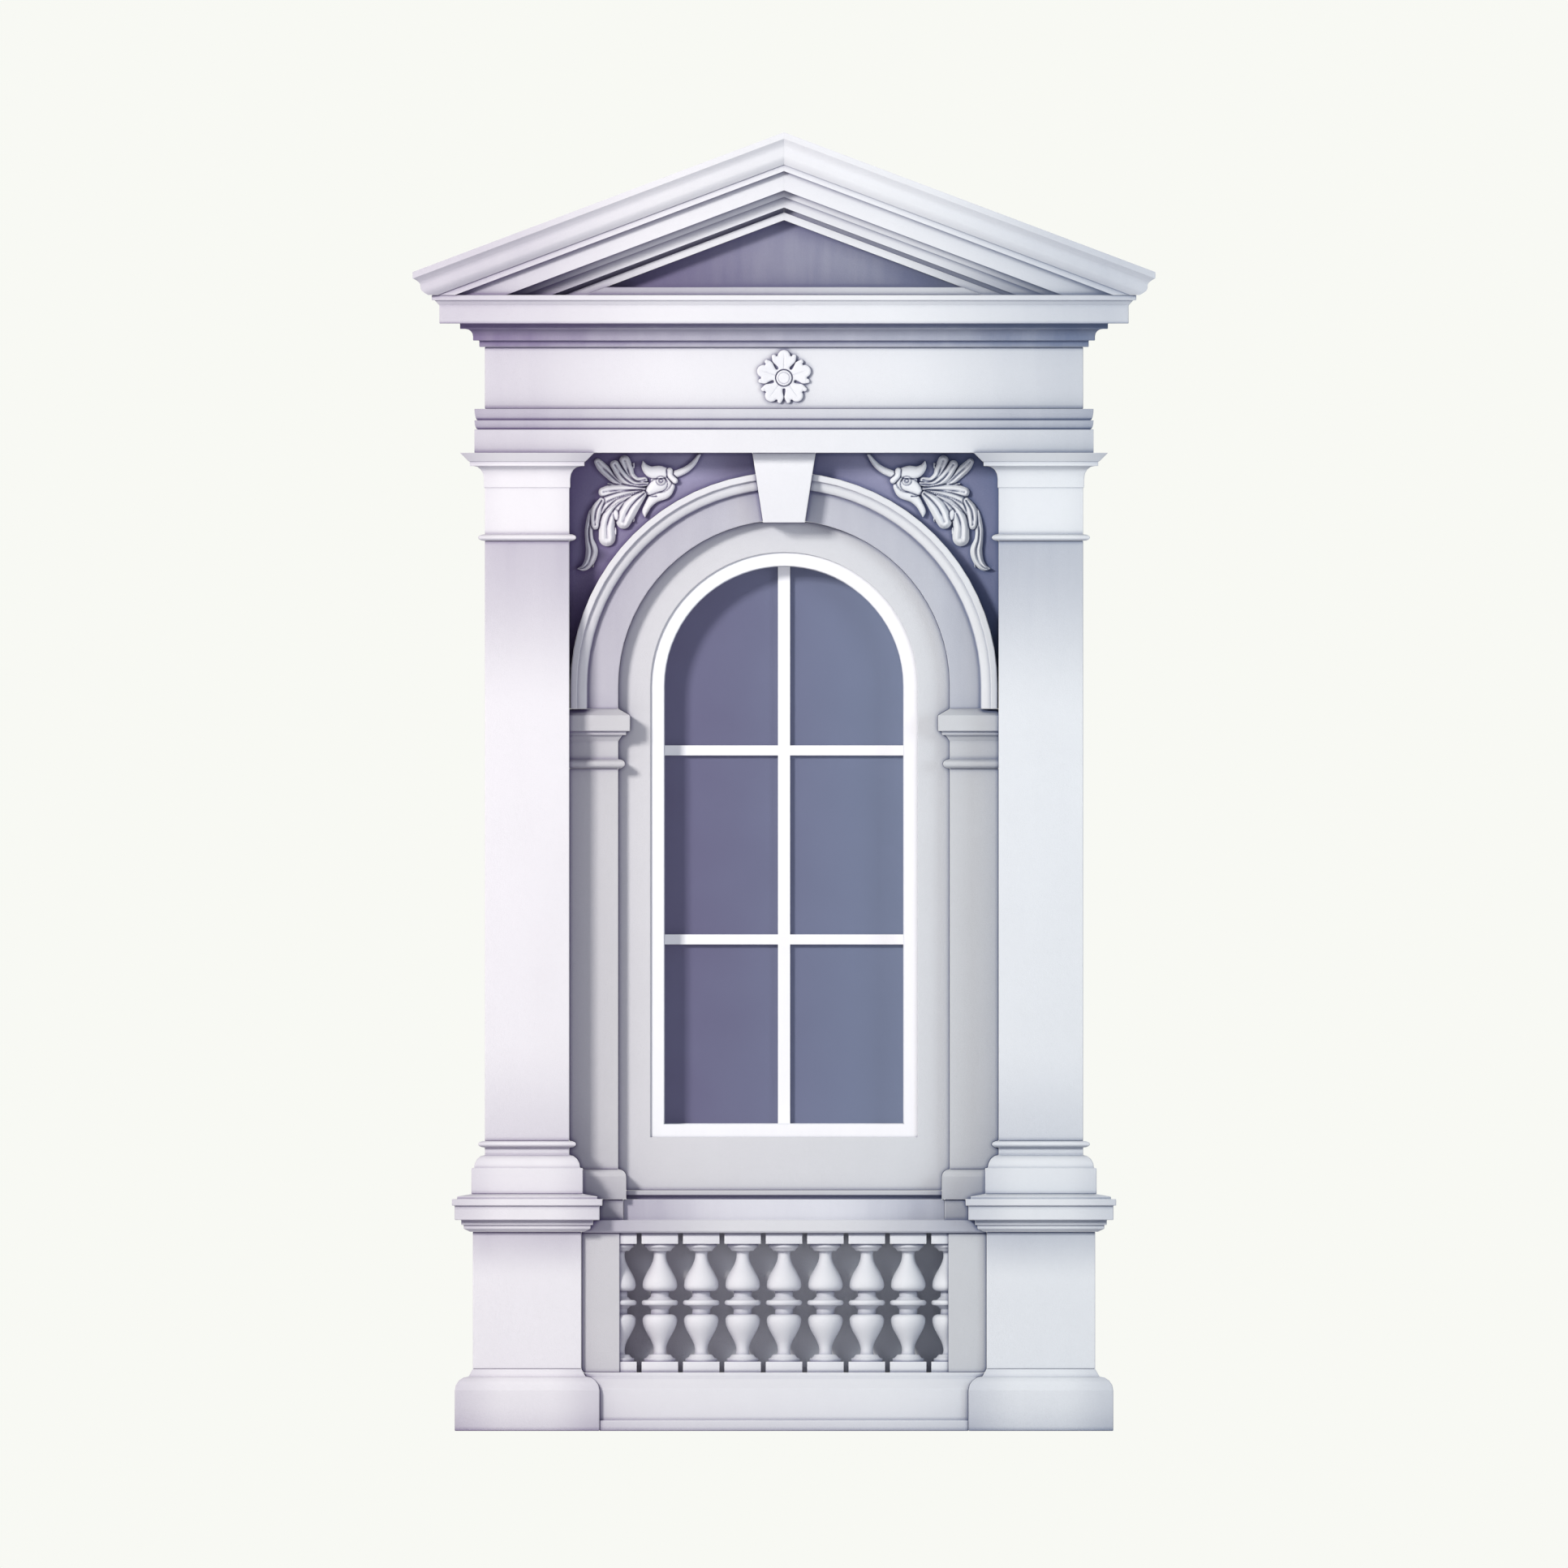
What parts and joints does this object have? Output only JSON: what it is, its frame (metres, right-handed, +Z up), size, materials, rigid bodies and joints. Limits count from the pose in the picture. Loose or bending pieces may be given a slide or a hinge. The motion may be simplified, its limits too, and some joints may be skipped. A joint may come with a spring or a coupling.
{
  "type": "arched window surround",
  "caption": "Stone aedicule round an arched window: pilasters on pedestals, blind balustrade, keystoned arch on inner piers, carved spandrels, rosette frieze and pediment.",
  "frame": {"origin": "on the ground, midway between left and right and between the flat back and the tip of the eaves", "axes": "+Z up, +X to the right seen from the front, +Y into the wall behind, so the front faces -Y"},
  "size_m": [3.204, 0.812, 5.6003],
  "materials": {
    "stone": "fine rubbed pale limestone, cool grey with a lavender cast",
    "pale_stone": "fine carved white limestone, matt",
    "painted_timber": "white satin paint on joinery",
    "glass": "smooth grey-blue window glass"
  },
  "bodies": {
    "root": {"apron": "stone", "arch_left": "stone", "arch_right": "stone", "architrave": "stone", "baluster_1": "stone", "baluster_2": "stone", "baluster_3": "stone", "baluster_4": "stone", "baluster_5": "stone", "baluster_6": "stone", "baluster_7": "stone", "balustrade_end_left": "stone", "balustrade_end_right": "stone", "balustrade_plinth": "stone", "balustrade_rail": "stone", "cornice": "stone", "frieze": "stone", "frieze_rosette": "pale_stone", "glass_pane_1": "glass", "glass_pane_2": "glass", "glass_pane_3": "glass", "glass_pane_4": "glass", "glass_pane_5": "glass", "glass_pane_6": "glass", "half_baluster_left": "stone", "half_baluster_right": "stone", "impost_left": "stone", "impost_right": "stone", "keystone": "pale_stone", "pedestal_base_left": "stone", "pedestal_base_right": "stone", "pedestal_cap_left": "stone", "pedestal_cap_right": "stone", "pedestal_die_left": "stone", "pedestal_die_right": "stone", "pier_base_left": "stone", "pier_base_right": "stone", "pier_pedestal_left": "stone", "pier_pedestal_right": "stone", "pier_shaft_left": "stone", "pier_shaft_right": "stone", "pilaster_base_left": "stone", "pilaster_base_right": "stone", "pilaster_capital_left": "stone", "pilaster_capital_right": "stone", "pilaster_shaft_left": "stone", "pilaster_shaft_right": "stone", "raking_cornice_left": "stone", "raking_cornice_right": "stone", "sill": "stone", "spandrel_left": "stone", "spandrel_ornament_left": "pale_stone", "spandrel_ornament_right": "pale_stone", "spandrel_right": "stone", "tympanum": "stone", "window_frame": "painted_timber", "window_wall": "stone"}
  },
  "joints": []
}
